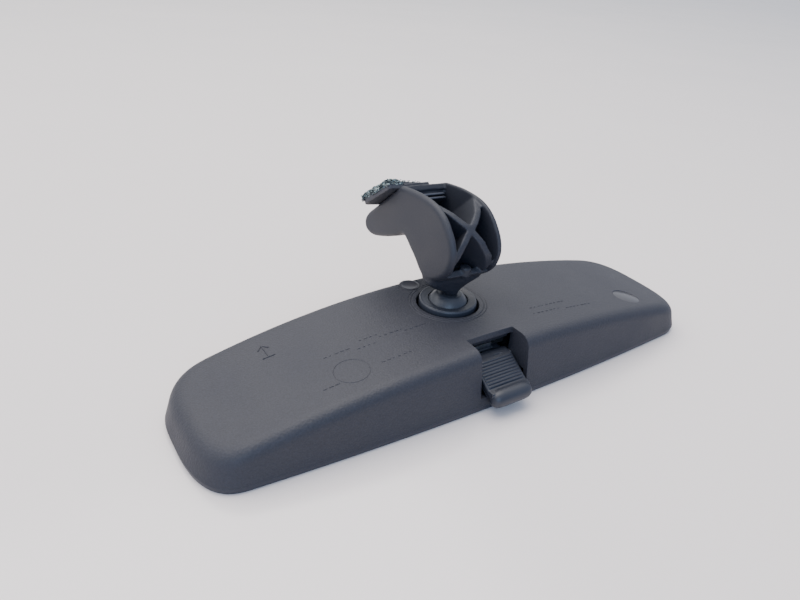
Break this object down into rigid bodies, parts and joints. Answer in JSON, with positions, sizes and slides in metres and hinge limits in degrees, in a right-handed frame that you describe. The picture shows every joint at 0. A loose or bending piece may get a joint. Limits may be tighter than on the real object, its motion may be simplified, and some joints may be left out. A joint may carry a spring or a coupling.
{
  "type": "interior rearview mirror",
  "caption": "Interior rear-view mirror with prism glass, dipping lever, ball joint and a ribbed windscreen arm.",
  "frame": {"origin": "middle of the front (glass) side of the case, in the plane of the bezel's front edge", "axes": "+X along the mirror, -Y towards the dipping lever at its lower edge, +Z away from the glass towards the arm"},
  "size_m": [0.2366, 0.1038, 0.0688],
  "materials": {
    "case_plastic": "fine spark-eroded grain",
    "bezel_plastic": "satin",
    "mirror_glass": "polished",
    "silver": "bright",
    "black_film": "matt printed film",
    "foam": "closed-cell foam",
    "carrier_plastic": "moulded, satin",
    "steel": "zinc plated",
    "spring_steel": "rolled",
    "lever_plastic": "satin, slightly smoother than the case",
    "bracket_metal": "die cast, tumbled",
    "socket_plastic": "satin",
    "bearing_plastic": "smooth acetal",
    "ball_plastic": "smooth, greased",
    "arm_plastic": "fine grain",
    "button_black": "black coat",
    "adhesive": "cured bonding pad",
    "glass_crumbs": "crushed toughened glass"
  },
  "bodies": {
    "case": {"back_cover": "case_plastic", "bezel": "bezel_plastic", "mirror_glass": "mirror_glass", "silver_coating": "silver", "backing_film": "black_film", "foam_cushions": "foam", "carrier": "carrier_plastic", "carrier_screws": "steel", "hinge_pin": "steel", "lever_pin": "steel", "detent_spring": "spring_steel"},
    "lever": {"dip_lever": "lever_plastic"},
    "bracket": {"pivot_bracket": "bracket_metal", "socket_collar": "socket_plastic", "ball_liner": "socket_plastic", "disc_spring": "spring_steel"},
    "pad": {"pressure_pad": "bearing_plastic"},
    "ball": {"pivot_ball": "ball_plastic"},
    "arm": {"ball_stud": "steel", "arm_moulding": "arm_plastic", "spring_clip": "spring_steel", "windscreen_button": "button_black", "adhesive_pad": "adhesive", "glass_residue": "glass_crumbs"}
  },
  "joints": [
    {"name": "dip_tilt", "type": "hinge", "parent": "case", "child": "bracket", "pos_m": [0, 0.024, 0.0144], "axis": [1, 0, 0], "range_deg": [0, 4]},
    {"name": "lever_flip", "type": "hinge", "parent": "case", "child": "lever", "pos_m": [0, -0.022, 0.013], "axis": [-1, 0, 0], "range_deg": [0, 35]},
    {"name": "ball_pitch", "type": "hinge", "parent": "bracket", "child": "pad", "pos_m": [0, 0.0068, 0.0211], "axis": [1, 0, 0], "range_deg": [-10, 10]},
    {"name": "ball_roll", "type": "hinge", "parent": "pad", "child": "ball", "pos_m": [0, 0.0068, 0.0211], "axis": [0, 1, 0], "range_deg": [-10, 10]},
    {"name": "ball_spin", "type": "hinge", "parent": "ball", "child": "arm", "pos_m": [0, 0.0068, 0.0211], "axis": [0.0523, -0.0018, 0.9986], "range_deg": [-45, 45]}
  ],
  "couplings": [
    {"joint": "lever_flip", "follows": "dip_tilt", "ratio": 8.75}
  ]
}
